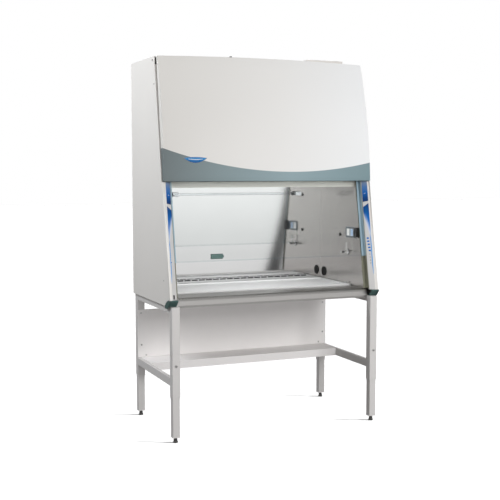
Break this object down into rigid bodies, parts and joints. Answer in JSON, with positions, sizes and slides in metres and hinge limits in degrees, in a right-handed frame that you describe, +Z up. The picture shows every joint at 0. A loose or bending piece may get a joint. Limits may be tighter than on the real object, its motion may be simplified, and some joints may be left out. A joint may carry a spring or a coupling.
{
  "type": "biological safety cabinet",
  "caption": "Free-standing biological safety cabinet with a leaning glass sash, a bowed front cover and a telescoping stand with a half shelf.",
  "frame": {"origin": "centre of the footprint on the floor", "axes": "+Z up, -Y is the front where the user sits, +X to the right as seen from the front"},
  "size_m": [1.4615, 0.793, 2.409],
  "materials": {
    "white_paint": "smooth powder coat",
    "inner_paint": "smooth powder coat",
    "grey_trim": "satin",
    "stainless": "satin brushed",
    "galvanised": "zinc coated sheet",
    "filter_frame": "mill finish with white media",
    "motor_grey": "satin",
    "cast_weight": "as cast",
    "bright_steel": "turned",
    "dark_steel": "blackened",
    "chrome": "polished",
    "lamp_glass": "phosphor coated",
    "clear_glass": "tempered safety glass",
    "teal_trim": "satin extrusion",
    "olive_channel": "satin extrusion",
    "column_grey": "satin with a printed film",
    "key_blue": "domed film key",
    "black_plastic": "satin",
    "cap_green": "moulded",
    "black_rubber": "moulded",
    "outlet_white": "moulded",
    "plate_teal": "satin printed plate",
    "stand_paint": "smooth powder coat",
    "foot_steel": "zinc plated"
  },
  "bodies": {
    "legs": {"inner_leg_fl": "stand_paint", "inner_leg_fr": "stand_paint", "inner_leg_rl": "stand_paint", "inner_leg_rr": "stand_paint"},
    "cabinet": {"side_panel_left": "white_paint", "side_panel_right": "white_paint", "rear_panel": "white_paint", "roof_panel": "white_paint", "drain_pan": "stainless", "inner_back_wall": "stainless", "inner_wall_left": "stainless", "inner_wall_right": "stainless", "supply_diffuser": "inner_paint", "plenum_panel": "inner_paint", "supply_filter": "filter_frame", "exhaust_filter": "filter_frame", "exhaust_guard": "white_paint", "junction_box": "white_paint", "side_cover": "grey_trim", "blower_housing": "galvanised", "blower_motor": "motor_grey", "front_grille": "stainless", "hinge_pins": "dark_steel", "lamp_housing": "inner_paint", "lamp_tubes": "lamp_glass", "uv_lamp": "lamp_glass", "uv_sockets": "chrome", "sash_guides": "olive_channel", "column_left": "column_grey", "column_right": "column_grey", "service_socket": "black_plastic", "corner_caps": "cap_green", "valve_body": "chrome", "outlet": "outlet_white", "port_plugs": "black_rubber", "info_plate": "plate_teal", "stand_frame": "stand_paint", "shelf": "stand_paint", "stand_back_panel": "stand_paint", "stand_screws": "bright_steel"},
    "sash": {"sash_glass": "clear_glass", "sash_trim": "teal_trim"},
    "counterweight_pair": {"counterweights": "cast_weight"},
    "pulleys": {"pulley_shaft": "bright_steel"},
    "front_cover": {"front_panel": "white_paint", "panel_lock": "dark_steel"},
    "blower_rotor": {"blower_wheel": "galvanised"},
    "tray": {"work_surface": "stainless", "tray_knobs": "chrome"},
    "valve_handle": {"valve_lever": "chrome"},
    "outlet_lid": {"outlet_cover": "black_plastic"},
    "key_blower_cap": {"key_blower": "key_blue"},
    "key_light_cap": {"key_light": "key_blue"},
    "key_uv_cap": {"key_uv": "key_blue"},
    "key_outlet_cap": {"key_outlet": "key_blue"},
    "key_alarm_cap": {"key_alarm": "key_blue"},
    "level_fl": {"foot_fl": "foot_steel"},
    "level_fr": {"foot_fr": "foot_steel"},
    "level_rl": {"foot_rl": "foot_steel"},
    "level_rr": {"foot_rr": "foot_steel"}
  },
  "joints": [
    {"name": "stand_height", "type": "slide", "parent": "legs", "child": "cabinet", "axis": [0, 0, 1], "range_m": [-0.14, 0.012], "stiffness_N_per_m": 200000, "springref_m": 0.02},
    {"name": "sash_slide", "type": "slide", "parent": "cabinet", "child": "sash", "axis": [0, 0.1736, 0.9848], "range_m": [-0.212, 0.48]},
    {"name": "counterweight_travel", "type": "slide", "parent": "cabinet", "child": "counterweight_pair", "axis": [0, 0, -1], "range_m": [-0.212, 0.48]},
    {"name": "pulley_turn", "type": "hinge", "parent": "cabinet", "child": "pulleys", "pos_m": [0, -0.048, 2.3], "axis": [-1, 0, 0], "range_deg": [-470, 1060]},
    {"name": "front_cover_hinge", "type": "hinge", "parent": "cabinet", "child": "front_cover", "pos_m": [0, -0.07864, 2.346], "axis": [-1, 0, 0], "range_deg": [0, 60]},
    {"name": "blower_spin", "type": "hinge", "parent": "cabinet", "child": "blower_rotor", "pos_m": [0, 0.105, 1.89], "axis": [1, 0, 0], "continuous": true},
    {"name": "tray_lift", "type": "slide", "parent": "cabinet", "child": "tray", "axis": [0, 0, 1], "range_m": [0, 0.15]},
    {"name": "valve_turn", "type": "hinge", "parent": "cabinet", "child": "valve_handle", "pos_m": [0.633, -0.097, 1.111], "axis": [0, -1, 0], "range_deg": [0, 90]},
    {"name": "outlet_cover_hinge", "type": "hinge", "parent": "cabinet", "child": "outlet_lid", "pos_m": [0.646, -0.193, 1.246], "axis": [0, 0, 1], "range_deg": [-160, 10]},
    {"name": "key_blower_press", "type": "slide", "parent": "cabinet", "child": "key_blower_cap", "axis": [0.4879, 0.8597, -0.1516], "range_m": [0, 0.001], "stiffness_N_per_m": 400},
    {"name": "key_light_press", "type": "slide", "parent": "cabinet", "child": "key_light_cap", "axis": [0.4879, 0.8597, -0.1516], "range_m": [0, 0.001], "stiffness_N_per_m": 400},
    {"name": "key_uv_press", "type": "slide", "parent": "cabinet", "child": "key_uv_cap", "axis": [0.4879, 0.8597, -0.1516], "range_m": [0, 0.001], "stiffness_N_per_m": 400},
    {"name": "key_outlet_press", "type": "slide", "parent": "cabinet", "child": "key_outlet_cap", "axis": [0.4879, 0.8597, -0.1516], "range_m": [0, 0.001], "stiffness_N_per_m": 400},
    {"name": "key_alarm_press", "type": "slide", "parent": "cabinet", "child": "key_alarm_cap", "axis": [0.4879, 0.8597, -0.1516], "range_m": [0, 0.001], "stiffness_N_per_m": 400},
    {"name": "foot_fl_turn", "type": "hinge", "parent": "legs", "child": "level_fl", "pos_m": [-0.687, -0.3675, 0.05], "axis": [0, 0, 1], "continuous": true},
    {"name": "foot_fr_turn", "type": "hinge", "parent": "legs", "child": "level_fr", "pos_m": [0.687, -0.3675, 0.05], "axis": [0, 0, 1], "continuous": true},
    {"name": "foot_rl_turn", "type": "hinge", "parent": "legs", "child": "level_rl", "pos_m": [-0.687, 0.3675, 0.05], "axis": [0, 0, 1], "continuous": true},
    {"name": "foot_rr_turn", "type": "hinge", "parent": "legs", "child": "level_rr", "pos_m": [0.687, 0.3675, 0.05], "axis": [0, 0, 1], "continuous": true}
  ],
  "couplings": [
    {"joint": "counterweight_travel", "follows": "sash_slide", "ratio": 1},
    {"joint": "pulley_turn", "follows": "sash_slide", "rad_per_m": 38.462}
  ]
}
